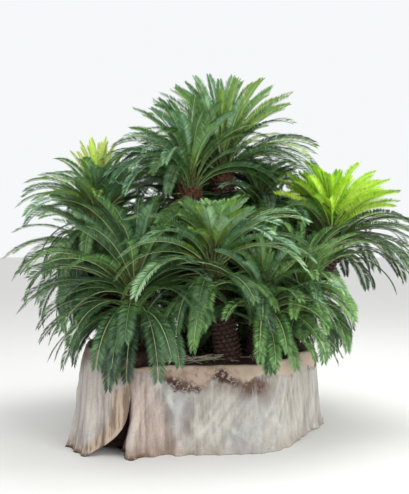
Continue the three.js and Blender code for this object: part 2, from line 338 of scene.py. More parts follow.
def cloth_material():
    made, start, shader = new_material("weathered_cloth", Roughness=0.92)
    place = start.spot()
    x, height = (start.node("SeparateXYZ", {}, {0: place}, out=k) for k in (0, 2))
    mud, stain, crumbs = start.kept("marks")
    run, rise, tan = start.kept("lay")
    # how deep in a fold each point lies: painted shade in the folds and a painted highlight on their
    # crests
    (fold_shade,) = start.kept("folds", 1)
    slants = []
    for lean, along, scale in ((0.75, 0.22, 24.0), (-0.6, 0.3, 30.0)):
        slanted = start.node("CombineXYZ", {}, {0: run + rise * lean, 1: rise * along})
        slants.append(slanted.grain(scale, 3.0, 0.6))
    runs = place.stretched((1.0, 1.0, 0.07)).grain(26.0, 3.0, 0.6)
    broad = place.stretched((1.0, 1.0, 0.5)).grain(4.0, 3.0)
    fine = place.stretched((1.0, 1.0, 0.35)).grain(120.0, 2.0)
    blotch = place.grain(11.0, 5.0, 0.65)
    speckle = place.grain(46.0, 4.0, 0.75)
    threads = place.stretched((0.25, 0.25, 1.0)).grain(210.0, 1.0)
    pale = layered(blend(hue(164, 164, 162), hue(182, 179, 170), broad.between(0.4, 0.6)), [
        (hue(196, 194, 186), blotch.between(0.5, 0.68) * 0.6),
        # painted light: the right of the cloth is painted paler, where the lamps' light falls off
        (hue(206, 202, 191), x.between(0.3, 0.9) * 0.6),
        (hue(208, 205, 202), x.between(-0.6, -0.7) * 0.6),
        (hue(138, 136, 137), slants[0].between(0.52, 0.7) * 0.12),
        (hue(188, 186, 180), slants[1].between(0.54, 0.7) * 0.12),
        (hue(136, 132, 130), runs.between(0.52, 0.75) * 0.25),
        (hue(150, 149, 150), place.grain(6.0, 5.0, 0.7).between(0.5, 0.66) * 0.45),
        (hue(208, 206, 198), speckle.between(0.54, 0.7) * 0.35),
    ])
    warm = layered(blend(hue(183, 166, 156), hue(144, 128, 119), runs.between(0.46, 0.66) * 0.7), [
        (hue(171, 161, 155), slants[0].between(0.52, 0.66) * 0.5),
        (hue(204, 192, 182), speckle.between(0.52, 0.66) * 0.5),
    ])
    border = (x + height * 0.5 + broad * 0.14 + 0.055).between(0.06, -0.1)
    foot = height.between(0.14, 0.0) * broad.between(0.3, 0.55) * (0.5 + 0.5 * x.between(-0.2, -0.5))
    bare = blend(hue(172, 153, 132), hue(116, 95, 80), runs.between(0.44, 0.58))
    run_down = stain * blend(runs.between(0.3, 0.5), speckle.between(0.35, 0.5), 0.4)
    dried = layered(blend(hue(168, 148, 133), hue(138, 115, 99), blotch.between(0.45, 0.65)), [
        (hue(198, 180, 160), x.between(0.1, 0.4) * 0.75),
        (hue(184, 168, 152), speckle.between(0.56, 0.7) * 0.6),
    ])
    clods = blend(blotch, speckle, 0.65).between(0.43, 0.5)
    feed(shader, "Base Color", layered(pale, [
        (warm, border * (1.0 - 0.6 * x.between(-0.56, -0.66))),
        (hue(120, 108, 103), fine.between(0.55, 0.78) * 0.35),
        # painted shade darkens the folds, broken up by the streaks, and a painted highlight lightens
        # their crests
        (hue(112, 100, 94), fold_shade * runs.between(0.25, 0.6) * 0.65),
        (hue(190, 187, 180), fold_shade.between(0.35, 0.05) * blotch.between(0.4, 0.6) * 0.4),
        (hue(128, 102, 78), foot * blend(speckle.between(0.3, 0.6), runs, 0.3)),
        (bare, tan * blotch.between(0.15, 0.45) * 0.85),
        (hue(92, 68, 54), run_down),
        (dried, mud),
        (hue(128, 104, 91), crumbs.between(0.2, 0.75) * blotch.between(0.36, 0.56) * 0.7),
        (hue(64, 44, 38), crumbs.between(0.12, 0.62) * clods),
    ]))
    relief = slants[0] * 0.5 + slants[1] * 0.4 + runs * 0.15 + fine * 0.3 + threads * 0.2
    relief = relief + speckle * (0.35 + 0.65 * mud) + clods * crumbs * 0.8
    emboss(shader, relief, 0.55, 0.006)
    return made


def creases_on(outline, rim, seed):
    """Soft slanting creases of a wall: (place round it, height, slant, length, width, depth)."""
    chance = random.Random(seed)
    around = len(outline)
    return [
        (chance.random() * around, chance.uniform(0.05, 0.75) * rim, chance.uniform(-0.5, 0.9),
         chance.uniform(0.12, 0.3), chance.uniform(0.008, 0.02), chance.uniform(0.002, 0.007))
        for _ in range(CREASES)
    ]


def crease_depth(creases, run, height):
    """How far the creases lift the cloth along a row. run is the way round in metres."""
    depth = 0 * run
    for place, middle, slant, length, width, deep in creases:
        across = (run - run[int(place) % len(run)] + run[-1] / 2) % run[-1] - run[-1] / 2
        off = across - slant * (middle - height)
        depth += deep * hump(off, 0, width) * hump(height, middle, length)
    return depth


main_outline = np.roll(smooth_outline(MAIN_CORNERS, MAIN_POINTS), SEAM_SHIFT, axis=0)
main_turn = np.arange(MAIN_POINTS) / MAIN_POINTS
main_run = np.cumsum(np.linalg.norm(main_outline - np.roll(main_outline, 1, axis=0), axis=1))
x, y = main_outline.T
main_front = ramp(-y, 0.3, 0.7)
main_rim = MAIN_RIM - 0.014 * main_front + 0.2 * ripple(main_turn, [(13, 0.012), (29, 0.01)], 3)
main_creases = creases_on(main_outline, MAIN_RIM, 31)
for across, *swag in SWAGS:
    main_creases.append((np.argmin(np.abs(x - across) + (y > 0)), *swag))
loose = 0.3 + 0.7 * ramp(-x, 0.05, 0.35) + 0.5 * (1 - main_front)
tight = np.where(y < 0, np.interp(x, (-0.15, 0.15), (1, 0.5)), 1)
hem_lift = 0.012 * hump(x, 0.85, 0.12) * (y < 0)
hem_waves = 1 + ripple(main_turn, [(37, 0.6), (71, 0.4)], 14)
mud_edge = MUD_EDGE_BEHIND + 1.2 * ripple(main_turn, [(11, 0.02), (23, 0.014)], 8)
front_edge = np.interp(x, *zip(*MUD_EDGE))
mud_edge = mud_edge + (front_edge - mud_edge) * np.clip(main_front * 1.4, 0, 1)
mud_edge = mud_edge + 0.35 * ripple(main_turn, [(61, 0.02), (97, 0.016), (151, 0.012)], 5)
thick = (hump(x, -0.16, 0.12) + 0.7 * hump(x, 0.2, 0.12)) * (y < 0)  # two places full of crumbs
clumps = np.clip(0.85 + 5 * ripple(main_turn, [(13, 0.05), (31, 0.04)], 17), 0.55, 1)
clumps = clumps * np.where(y < -0.2, 0.35 + 0.65 * np.clip(1.6 * thick, 0, 1), 0.6)
stained_behind = 0.8 * np.clip(np.sin(9 * x + 3) * np.sin(7 * y + 1), 0, 1) * (y > -0.2)
# crumbs of earth along the hem on the front left, whose dark spots are also painted shade at the
# cloth's foot
foot_crumbs_and_shade = 0.5 * ramp(-x, 0.3, 0.45) * (y < -0.4)

cloth = cloth_material()
main_sheet = {"rows": [], "marks": [], "lay": [], "folds": []}
for inset in (0.5, 0.05):
    lay_row(main_sheet, on_wall(main_outline, MAIN_LEAN, 0, out=-inset), (0, 0, 0), (0, 0, 0))
for level in np.linspace(0, 1, WALL_ROWS):
    height = hem_lift + (main_rim - hem_lift) * level
    folds = ripple(main_turn, [(19, 0.009), (31, 0.007), (47, 0.003)], 11, slant=1.6 * level)
    depth = 0.005 + folds * (0.25 + 1.1 * (1 - level) ** 1.2) * loose
    wrinkles = wrinkled(main_run, height, -0.7, 12)
    depth = depth + WRINKLE_DEPTH * tight * wrinkles + crease_depth(main_creases, main_run, height)
    fan = (x + 0.37) / (0.95 - height)  # the folds that spread from the corner by the slit
    spread = ramp(-x - 0.5 * height, -0.02, 0.1) * main_front * (1 - level)
    depth = depth + 0.02 * spread * np.cos(30 * fan)
    last_fold = hump(x + 0.5 * height, -0.075, 0.03) * main_front * np.clip(2 - 2 * level, 0, 1)
    depth = depth + 0.014 * last_fold
    # how deep in a fold the cloth lies here, for the painted shade of its folds
    fold_shade = fold_shade_of(depth, wrinkles)
    mud = ramp(height - mud_edge, -0.003, 0.003)
    lumps = [noise.noise(Vector((*p, h)) * 16) for p, h in zip(main_outline, height)]
    depth = depth + 0.012 * np.exp(-height / 0.02) * hem_waves
    depth = depth + mud * (MUD_CRUST + 0.004 * np.array(lumps))
    stain = stained_behind * hump(height, 0.5, 0.09)
    for strong, place, width, middle, tall in STAINS:
        stain = stain + strong * hump(x, place, width) * hump(height, middle, tall) * (y < 0)
    off = height - mud_edge + 0.006
    fade = np.where(off > 0, 0.024 + 0.07 * thick, 0.042)
    crumbs = clumps * hump(off, 0, fade) + foot_crumbs_and_shade * hump(height, 0, 0.035)
    row = on_wall(main_outline, MAIN_LEAN, height, out=depth)
    lay_row(main_sheet, row, (mud, np.clip(stain, 0, 1), crumbs), (main_run, height, 0), fold_shade)
for inset, drop in MAIN_TURN_IN:
    row = on_wall(main_outline, MAIN_LEAN, main_rim, out=-inset)
    row[:, 2] = main_rim - drop
    lay_row(main_sheet, row, (1, 0, 0), (main_run, main_rim, 0))
main_wrap = cloth_piece("cloth_main", main_sheet)
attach(main_wrap, "root")
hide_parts("wrap_main")

# The side lobe of the wrap: the same cloth, taken up again round the roots on the left. It meets
# the main part in a slit, and the corner of the cloth hangs clear there over a dark hollow.
SIDE_CORNERS = [
    (-0.985, -0.83), (-0.7, -1.0), (-0.4, -0.88), (-0.39, -0.2),
    (-0.45, 0.6), (-0.88, 0.52), (-1.08, -0.2),
]
SIDE_LEAN = {"centre": (-0.5, -0.25), "sideways": 1.7}
SIDE_LIFT = 0.108
SIDE_POINTS = 330
SIDE_RIM = 0.772
CLOTH_THICKNESS = 0.009
CUT_EDGE = [  # lower edge of the hanging corner: (x, height)
    (-0.87, 0.0), (-0.83, 0.035), (-0.76, 0.08), (-0.694, 0.12), (-0.642, 0.17),
    (-0.602, 0.22), (-0.58, 0.28), (-0.558, 0.396), (-0.54, 0.5), (-0.4, 0.52),
]
SIDE_TURN_IN = [(0.008, -0.005), (0.026, -0.001), (0.038, 0.025), (0.046, 0.07)]
MAIN_MIDDLE = np.array([0.25, -0.05])


def unlean(points, lean, height, lift=0.0):
    """Where the wall's points at a height come from on the ground."""
    centre = np.array(lean["centre"])
    return centre + (points - centre) / taper(lean, height, lift)


def beyond(points, outline, middle):
    """How far ground points lie outside an outline, measured away from its middle."""
    away = outline - middle
    angle = np.arctan2(away[:, 1], away[:, 0])
    order = np.argsort(angle)
    out = points - middle
    there = np.arctan2(out[:, 1], out[:, 0])
    edge = np.interp(there, angle[order], np.hypot(*away.T)[order], period=2 * math.pi)
    return np.hypot(*out.T) - edge


def settle(made):
    """Makes a mesh what its modifiers make of it."""
    seen = made.evaluated_get(bpy.context.evaluated_depsgraph_get())
    whole = bpy.data.meshes.new_from_object(seen)
    made.modifiers.clear()
    made.data = whole


side_loop = smooth_outline(SIDE_CORNERS, SIDE_POINTS)
clear = beyond(side_loop, main_outline, MAIN_MIDDLE) > -0.03
start = next(i for i in range(len(clear)) if clear[i] and not clear[i - 1])
side_loop = np.roll(side_loop, -start, axis=0)
side_outline = side_loop[: clear.sum()]
side_normals = outward(side_loop)[: len(side_outline)]
side_turn = np.arange(len(side_outline)) / SIDE_POINTS
side_run = np.linalg.norm(np.diff(side_outline, axis=0, prepend=side_outline[:1]), axis=1).cumsum()
x, y = side_outline.T
side_rim = SIDE_RIM + 0.2 * ripple(side_turn, [(9, 0.02), (21, 0.012)], 6)
side_rim = side_rim - 0.06 * ramp(x, -0.78, -0.58) * (y < -0.5)
side_creases = creases_on(side_outline, 0.75, 32)
cut_x, cut_height = zip(*CUT_EDGE)
side_low = np.zeros(len(side_outline))
for _ in range(4):  # the wall leans, so the height of the cut and the place on it settle together
    x_there = on_wall(side_outline, SIDE_LEAN, side_low, SIDE_LIFT)[:, 0]
    side_low = np.where(y < -0.55, np.interp(x_there, cut_x, cut_height), 0)
hanging = ramp(x_there, -0.75, -0.55) * (side_low > 0)
ragged = 6 * ripple(side_turn, [(37, 0.02), (61, 0.02)], 9)
patchy = 0.55 + 0.45 * np.sin(11 * x + 5 * y)

side_sheet = {"rows": [], "marks": [], "lay": [], "folds": []}
for level in np.linspace(0, 1, WALL_ROWS):
    height = side_low + (side_rim - side_low) * level
    free = np.clip(1 - height / 0.775, 0, 1) ** 1.3
    folds = ripple(side_turn, [(14, 0.01), (25, 0.008), (43, 0.004)], 21, slant=1.8 * level)
    depth = 0.004 + folds * (0.4 + 1.3 * free) + crease_depth(side_creases, side_run, height)
    wrinkles = wrinkled(side_run, height, 0.3, 22)
    depth = depth + WRINKLE_DEPTH * wrinkles + 0.02 * hanging * free
    depth = depth + 0.006 * hump(height, side_low, 0.02) * (side_low > 0.01)
    # how deep in a fold the cloth lies here, for the painted shade of its folds
    fold_shade = fold_shade_of(depth, wrinkles)
    row = on_wall(side_outline, SIDE_LEAN, height, SIDE_LIFT, depth, side_normals)
    tan = ramp(row[:, 0] - np.interp(height, cut_height, cut_x), -0.16, -0.1) * (y < -0.5)
    mud = np.clip((height - 0.68) / 0.03 + ragged, 0, 1)
    stain = np.clip(hump(height, 0.66, 0.09) * patchy, 0, 1)
    # crumbs at the edge of the mud; along the hem in front, crumbs of earth whose dark spots are also
    # painted shade at the foot
    crumbs = 1.2 * mud * (1 - mud) + 0.5 * hump(height, 0, 0.035) * (y < -0.5)
    lay_row(side_sheet, row, (0.8 * mud, stain, crumbs), (side_run, height, tan), fold_shade)
for inset, drop in SIDE_TURN_IN:
    row = on_wall(side_outline, SIDE_LEAN, side_rim, SIDE_LIFT, -inset, side_normals)
    row[:, 2] = side_rim - drop
    lay_row(side_sheet, row, (0.8, 0.2, 0), (side_run, side_rim, 0))
side_wrap = cloth_piece("cloth_side", side_sheet, closed=False)
doubled = side_wrap.modifiers.new("thickness", "SOLIDIFY")
doubled.thickness = CLOTH_THICKNESS
doubled.offset = -1
settle(side_wrap)
for point in side_wrap.data.vertices:
    point.co.z = max(point.co.z, 0)
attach(side_wrap, "root")
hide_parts("wrap_side")

# The soil of the ball: dark red-brown earth, full of fine roots, that fills the cloth. Its bed is
# lumpy, drawn up a little round the foot of each trunk, and sinks towards the rim.
HEADS = [
    dict(name="top", foot=(0.13, 0.09), crown=(0.155, 0.12, 2.215), size=0.97),
    dict(name="upper_left", foot=(-0.13, -0.06), crown=(-0.125, -0.08, 2.07), size=0.93),
    dict(name="middle_right", foot=(0.385, 0.175), crown=(0.5, 0.23, 1.88), size=0.93),
    dict(name="left", foot=(-0.765, -0.14), crown=(-0.915, 0.0, 1.87), size=0.86, flush=0.68),
    dict(name="right", foot=(0.7, 0.06), crown=(1.1, 0.0, 1.6), size=0.95, flush=0.72),
    dict(name="front", foot=(0.185, -0.59), crown=(0.07, -0.61, 1.42), size=0.92),
    dict(name="low_left", foot=(-0.59, -0.54), crown=(-0.55, -0.57, 1.17), size=1.0),
    dict(name="low_front", foot=(0.415, -0.43), crown=(0.47, -0.52, 1.06), size=0.82),
    dict(name="low_right", foot=(0.58, -0.17), crown=(0.81, -0.23, 1.18), size=0.8),
    dict(name="rear_left", foot=(-0.685, 0.18), crown=(-0.99, 0.45, 1.48), size=0.95),
    dict(name="rear", foot=(-0.04, 0.52), crown=(-0.09, 0.69, 1.68), size=0.97),
    dict(name="rear_right", foot=(0.52, 0.48), crown=(0.64, 0.7, 1.38), size=0.95),
]
TRUNK_RADIUS = 0.098
SOIL_HEIGHT = 0.656
SIDE_SOIL_RIM = 0.758
MOUND_HEIGHT = 0.022  # round the foot of a trunk
MOUND_WIDTH = 0.17
BED_RINGS = (0.97, 0.9, 0.8, 0.68, 0.56, 0.44, 0.32, 0.2, 0.1, 0.03)  # shares of the way out


def bed_height(x, y, level, slack):
    """The soil's top at a place. level is the bed's own height, slack how far it dips there."""
    lumps = 0.012 * noise.noise(Vector((x, y, 0)) * 7) + 0.006 * noise.noise(Vector((x, y, 1)) * 19)
    mound = max(hump(math.dist((x, y), head["foot"]), 0, MOUND_WIDTH) for head in HEADS)
    return level + lumps + MOUND_HEIGHT * mound - slack


def soil_material():
    made, start, shader = new_material("red_brown_earth", Roughness=0.95)
    place = start.spot()
    clods = place.grain(38.0, 5.0, 0.65)
    damp = place.grain(6.0, 3.0)
    roots = place.stretched((1.0, 1.0, 0.3)).grain(150.0, 2.0)
    feed(shader, "Base Color", layered(hue(42, 28, 21), [
        (hue(80, 54, 40), clods.between(0.38, 0.66)),
        (hue(38, 24, 18), damp.between(0.45, 0.65) * 0.6),
        (hue(132, 100, 74), roots.between(0.66, 0.76) * 0.6),
    ]))
    emboss(shader, clods + roots * 0.3, 0.9, 0.012)
    return made


def closed_body(name, rows, smooth=True):
    """A piece through rows that go round, with its first and its last row filled."""
    return piece(name, *skin(rows, low_end=True, high_end=True), smooth)


def soil_body(name, outline, lean, lift, middle, rim):
    """A closed body of soil inside a wall, with a bed of rings that close on the middle."""
    rows = [on_wall(outline, lean, height, lift, out=-0.045) for height in (0.015, 0.2, 0.45)]
    edge = on_wall(outline, lean, rim - 0.03, lift, out=-0.036)
    rows.append(edge)
    slack = np.broadcast_to(np.maximum(0, SOIL_HEIGHT + lift - rim) + 0.012, len(outline))
    for share in BED_RINGS:
        row = edge.copy()
        row[:, :2] = middle + (edge[:, :2] - middle) * share
        for point, dip in zip(row, slack * share**3):
            point[2] = bed_height(point[0], point[1], SOIL_HEIGHT + lift, dip)
        rows.append(row)
    return closed_body(name, rows)


def cut_away(made, cutter):
    """Takes the cutter's shape out of a mesh, and the cutter out of the scene."""
    change = made.modifiers.new("cut", "BOOLEAN")
    change.operation = "DIFFERENCE"
    change.solver = "EXACT"
    change.object = cutter
    settle(made)
    bpy.data.objects.remove(cutter)


earth = soil_material()
main_inside, side_inside = main_outline[::2], side_loop[::2]
soil_main = soil_body("soil_bed_main", main_inside, MAIN_LEAN, 0, (0.2, -0.05), main_rim[::2])
soil_side = soil_body("soil_bed_side", side_inside, SIDE_LEAN, SIDE_LIFT, (-0.6, -0.25), SIDE_SOIL_RIM)
rows = [on_wall(main_outline[::4], MAIN_LEAN, height, out=0.002)
        for height in (-0.02, 0.048, 0.23, 0.48, 0.56, 0.64)]
cut_away(soil_side, closed_body("main_block", rows, smooth=False))
wedge = [(x, h) for x, h in CUT_EDGE if x > -0.86] + [(-0.3, 0.5), (-0.3, -0.02), (-0.84, -0.02)]
rows = [[(x - 0.02, y, h) for x, h in wedge] for y in (-1.2, -0.72)]
cut_away(soil_side, closed_body("hollow", rows, smooth=False))
for soil, node in ((soil_main, "soil_main"), (soil_side, "soil_side")):
    soil.data.materials.clear()
    soil.data.materials.append(earth)
    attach(soil, "root")
    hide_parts(node)

# Litter on the bed: dry leaflets and stalks, straw-coloured and curled, with a few clods of earth
# that fell among them. It lies loose between the trunks, and thickest in front of them.
STRAW = 200
LONG_STRAW = 40  # of them, strewn before the front trunk
CLODS = 150
BLADE_STEPS = 5
GOLDEN = (1 + math.sqrt(5)) / 2
CLOD_POINTS = [  # a twenty-sided ball, whose points are drawn in and out to make a clod
    (-1, GOLDEN, 0), (1, GOLDEN, 0), (-1, -GOLDEN, 0), (1, -GOLDEN, 0),
    (0, -1, GOLDEN), (0, 1, GOLDEN), (0, -1, -GOLDEN), (0, 1, -GOLDEN),
    (GOLDEN, 0, -1), (GOLDEN, 0, 1), (-GOLDEN, 0, -1), (-GOLDEN, 0, 1),
]
CLOD_FACES = [
    (0, 11, 5), (0, 5, 1), (0, 1, 7), (0, 7, 10), (0, 10, 11), (1, 5, 9), (5, 11, 4),
    (11, 10, 2), (10, 7, 6), (7, 1, 8), (3, 9, 4), (3, 4, 2), (3, 2, 6), (3, 6, 8),
    (3, 8, 9), (4, 9, 5), (2, 4, 11), (6, 2, 10), (8, 6, 7), (9, 8, 1),
]


def past_wall(points):
    """How far outside the main part's wall the outermost of some points on the bed lies."""
    ground = unlean(np.array(points)[:, :2], MAIN_LEAN, SOIL_HEIGHT)
    return beyond(ground, main_outline, MAIN_MIDDLE).max()


def on_bed(chance):
    """A place on the bed that is clear of the wall and of the trunks."""
    while True:
        x, y = chance.uniform(-0.45, 0.95), chance.uniform(-0.8, 0.75)
        if past_wall([(x, y)]) > -0.12:
            continue
        if min(math.dist((x, y), head["foot"]) for head in HEADS) > 0.14:
            return x, y


def litter_height(x, y):
    """Where litter lies at a place on the bed, which dips towards the front."""
    return bed_height(x, y, SOIL_HEIGHT, 0.04 * max(0, -y - 0.5))


def blade_of_straw(start, heading, length, width, lift, sag):
    """A curled strip on the bed: points and faces."""
    points = []
    for along in np.linspace(0, 1, BLADE_STEPS + 1):
        turn = heading + sag * along
        x = start[0] + length * along * math.cos(turn)
        y = start[1] + length * along * math.sin(turn)
        z = litter_height(x, y) + 0.006 + lift * (1 - along) + 0.012 * math.sin(3 * along + sag)
        half = width * (1 - 0.7 * along)
        side = (-math.sin(turn) * half, math.cos(turn) * half)
        points += [(x + side[0], y + side[1], z), (x - side[0], y - side[1], z), (x, y, z + 0.6 * half)]
    faces = []
    for a in range(0, 3 * BLADE_STEPS, 3):
        faces += [(a, a + 3, a + 5, a + 2), (a + 2, a + 5, a + 4, a + 1), (a + 1, a + 4, a + 3, a)]
    return points, faces


def joined(name, parts, materials, smooth=False):
    """One piece from many (points, faces, the number of a material, or one for each face)."""
    points, faces, paint = [], [], []
    for some, sides, number in parts:
        first = len(points)
        points += np.asarray(some).tolist()
        if isinstance(sides, np.ndarray):
            faces += (sides + first).tolist()
        else:
            faces += [[first + corner for corner in side] for side in sides]
        paint += np.broadcast_to(number, len(sides)).tolist()
    made = piece(name, points, faces, smooth)
    made.data.polygons.foreach_set("material_index", paint)
    for material in materials:
        made.data.materials.append(material)
    return made


chance = random.Random(71)
blades = []
for i in range(STRAW):
    if i < LONG_STRAW:
        spot = (chance.uniform(-0.16, 0.28), chance.uniform(-0.735, -0.64))
        heading = chance.choice((0, math.pi)) + chance.gauss(0, 0.25)
        shape = (chance.uniform(0.18, 0.4), 0.0035, chance.uniform(0.0, 0.06))
    else:
        spot = on_bed(chance)
        heading = chance.uniform(0, 6.28)
        shape = (chance.uniform(0.06, 0.16), 0.003, 0.0)
    blade, sides = blade_of_straw(spot, heading, *shape, chance.gauss(0, 0.5))
    if past_wall(blade) <= -0.05:
        blades.append((blade, sides, 0))
dry, start, shader = new_material("dry_straw", Roughness=0.8)
faded = start.spot().grain(30.0, 2.0).between(0.35, 0.6)
feed(shader, "Base Color", blend(hue(168, 156, 128), hue(236, 228, 206), faded))
straw = joined("dry_litter", blades, [dry])
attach(straw, "root")

lumps = []
for _ in range(CLODS):
    x, y = on_bed(chance)
    big = chance.uniform(0.004, 0.013)
    middle = np.array([x, y, litter_height(x, y) + 0.3 * big])
    uneven = np.array([[big * chance.uniform(0.38, 0.68)] for _ in CLOD_POINTS])
    lumps.append((middle + uneven * CLOD_POINTS * (1, 1, 0.7), CLOD_FACES, 0))
clods = joined("clods", lumps, [earth])
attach(clods, "root")

# The trunks: one for each head, dark red-brown and armoured with the stubs of old fronds, which
# sit in close spirals. Each trunk is one tapering limb, flared at its foot and set in the soil.
SWELL = [(0, 1.25), (0.12, 1.08), (0.5, 0.95), (0.88, 1.0), (1, 1.06)]
TRUNK_ROUND = 20
TRUNK_RINGS = 24
WOOD_DEPTH = 0.012  # how far in the wood lies between the stubs
STUB_RISE = 0.033  # from one turn of stubs to the next
STUBS_ROUND = 14
STUB_SIZE = (0.047, 0.036, 0.017)  # wide, tall and standing out
STUBS_LOST = 0.04
COLLARS = [(-0.105, 1.05), (-0.035, 0.97), (0.035, 0.8), (0.06, 0.6), (0.12, 0.36), (0.16, 0.2)]


def trunk_path(head):
    """The trunk's middle line from its foot to the first collar, as a function of a share."""
    foot, crown = np.array(head["foot"]), np.array(head["crown"])
    in_side = foot[0] < MAIN_CORNERS[-1][0]  # where the bed lies higher
    bed = SOIL_HEIGHT + SIDE_LIFT * in_side
    high = crown + (0, 0, COLLARS[0][0])
    low = np.array([*foot, bed])
    middle = np.array([*(2 * foot + crown[:2]) / 3, (bed + high[2]) / 2])

    def at(share):
        return (1 - share) ** 2 * low + 2 * share * (1 - share) * middle + share**2 * high

    return at


def trunk_radius(share):
    return np.interp(share, *zip(*SWELL)) * TRUNK_RADIUS


def ring_round(middle, radius, count):
    """Points of a level ring."""
    angle = np.linspace(0, 2 * math.pi, count, endpoint=False)
    return middle + radius * np.column_stack([np.cos(angle), np.sin(angle), 0 * angle])


def bark_material():
    made, start, shader = new_material("bark", Roughness=0.9)
    place = start.spot()
    fibre = place.stretched((1.0, 1.0, 0.4)).grain(90.0, 4.0, 0.6)
    patch = place.grain(9.0, 3.0)
    feed(shader, "Base Color", layered(hue(30, 19, 15), [
        (hue(72, 44, 33), fibre.between(0.36, 0.66)),
        (hue(104, 50, 34), patch.between(0.55, 0.72) * 0.5),
    ]))
    emboss(shader, fibre, 0.8, 0.006)
    return made


def grained(name, rough, scale, low, high, edge, strength):
    """A material whose colour and relief both follow one grain."""
    made, start, shader = new_material(name, Roughness=rough)
    grain = start.spot().grain(scale, 3.0, 0.6)
    feed(shader, "Base Color", blend(low, high, grain.between(edge, 0.64)))
    emboss(shader, grain, strength, 0.004)
    return made


def stub(middle, out, side, up, wide, tall, deep):
    """The stub of an old frond: a short block that narrows outward to a cut face."""
    rows = []
    for step, share in ((-0.012, 1.0), (deep * 0.7, 0.92), (deep, 0.6)):
        here = middle + out * step + up * (0.35 * max(0, step))
        rows.append([here + side * (a * wide / 2 * share) + up * (b * tall / 2 * share)
                     for a, b in ((-1, -0.55), (0, -1), (1, -0.55), (0.75, 0.8), (-0.75, 0.8))])
    return (*skin(rows, high_end=True), [0] * 10 + [1])


bark = bark_material()
stub_face = grained("stub_face", 0.85, 60.0, hue(46, 31, 24), hue(86, 60, 46), 0.4, 0.6)
for number, head in enumerate(HEADS):
    chance = random.Random(300 + number)
    path = trunk_path(head)
    rows = [ring_round(path(share), trunk_radius(share) - WOOD_DEPTH, TRUNK_ROUND)
            for share in np.linspace(-0.05, 1, TRUNK_RINGS)]
    parts = [(*skin(rows, high_end=True), 0)]
    stubs = int(np.linalg.norm(path(1.0) - path(0.0)) / STUB_RISE) * STUBS_ROUND
    for k in range(stubs):
        if chance.random() < STUBS_LOST:
            continue
        share = (k + 0.5) / stubs
        angle = 2 * math.pi * k / (STUBS_ROUND + 0.382) + chance.gauss(0, 0.03)
        up = unit(path(min(1, share + 0.01)) - path(share - 0.01))
        out = np.array([math.cos(angle), math.sin(angle), 0])
        out = unit(out - up * out.dot(up))
        radius = trunk_radius(share)
        tilt = 0.35 * chance.random()
        wide, tall, deep = STUB_SIZE
        parts.append(stub(
            path(share) + out * (radius - 0.014), out * math.cos(tilt) + up * math.sin(tilt),
            np.cross(up, out), up * math.cos(tilt) - out * math.sin(tilt),
            wide * radius / TRUNK_RADIUS * chance.uniform(0.85, 1.1),
            tall * chance.uniform(0.8, 1.1), deep * chance.uniform(0.7, 1.35),
        ))
    made = joined("bark_" + head["name"], parts, (bark, stub_face))
    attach(made, "root")
    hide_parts("trunk_" + head["name"])

# The crown cores: the growing point of each head, a low cone of pointed green bracts. On some the
# lower ones are felted with rusty wool. The fronds spring from between the bracts.
BRACTS = 120
BRACT_RISE = (-0.16, 0.14)  # the lowest and the highest, from the crown's middle
BRACT_FACES = [(0, 1, 2), (1, 3, 2), (0, 2, 3)]
CORE_ROUND = 18
CORE_RADIUS = 0.9 * TRUNK_RADIUS
RUSTY_HEADS = ("low_left", "low_front", "top", "upper_left")

parts = []
for number, head in enumerate(HEADS):
    chance = random.Random(500 + number)
    crown = np.array(head["crown"])
    rusty = int(head["name"] in RUSTY_HEADS)
    rows = [ring_round(crown + (0, 0, height), swell * CORE_RADIUS, CORE_ROUND)
            for height, swell in COLLARS]
    core, sides = skin(rows, high_end=True)
    parts.append((core, sides, [rusty] * CORE_ROUND + [0] * (len(sides) - CORE_ROUND)))
    for k in range(BRACTS):
        height = np.interp((k + 0.5) / BRACTS, (0, 1), BRACT_RISE)
        radius = np.interp(height, *zip(*COLLARS)) * CORE_RADIUS
        angle = math.radians(137.5 * k) + chance.gauss(0, 0.05)
        out = np.array([math.cos(angle), math.sin(angle), 0])
        side = np.array([-out[1], out[0], 0]) * 0.015
        lean = np.interp(height, BRACT_RISE, (0.75, 0.15)) + chance.gauss(0, 0.08)
        rise = np.array([0, 0, math.cos(lean)]) + out * math.sin(lean)
        foot = crown + (0, 0, height) + out * (radius - 0.004)
        tall = chance.uniform(0.045, 0.075) + (0.06 if height > -0.04 else 0)
        ridge = foot + out * 0.012 + rise * tall * 0.3
        points = [foot - side, foot + side, ridge, foot + rise * tall]
        parts.append((points, BRACT_FACES, rusty if height < -0.04 else 0))
cores = joined("crown_cores", parts, [
    grained("green_bases", 0.95, 140.0, hue(52, 62, 32), hue(104, 114, 58), 0.38, 0.7),
    grained("rusty_felt", 0.95, 140.0, hue(58, 38, 28), hue(112, 68, 46), 0.38, 0.7),
])
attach(cores, "root")

# The fronds: each has a tough pale midrib, arched by its own weight, with stiff narrow leaflets
# in a shallow V along both sides of it. Young ones stand up in the middle of a head, full-grown
# ones arch outward, and old ones hang. Two heads carry a flush of new fronds, still pale.
FROND_LENGTH = 0.9
FROND_SPAN = 0.088  # about how far its leaflets reach to each side
STALK_SHARE = 0.13  # the share of its length that is bare stalk
WHORLS = {  # angles in degrees; share and shortest are of the full length
    "old": dict(
        count=26, rise=8, stagger=13, droop=84, bend=1.05, share=0.93, shortest=0.65,
        wide=0.95, fold=0.1, root=0.6, spring=(-0.2, -0.07), lean=1.0,
    ),
    "full": dict(
        count=40, rise=38, stagger=16, droop=74, bend=1.35, share=1.0, shortest=0.9,
        wide=0.92, fold=0.42, root=0.55, spring=(-0.04, 0.03), lean=1.0,
    ),
    "young": dict(
        count=34, rise=69, stagger=13, droop=48, bend=1.5, share=0.88, shortest=0.82,
        wide=0.6, fold=0.95, root=0.14, spring=(0.06, 0.1), lean=0.4,
    ),
}
FLUSH = dict(
    count=60, rise=66, stagger=17, droop=36, bend=1.5, share=1.0, shortest=0.86,
    wide=0.58, fold=1.0, root=0.16, spring=(0.06, 0.1), lean=0.4,
)
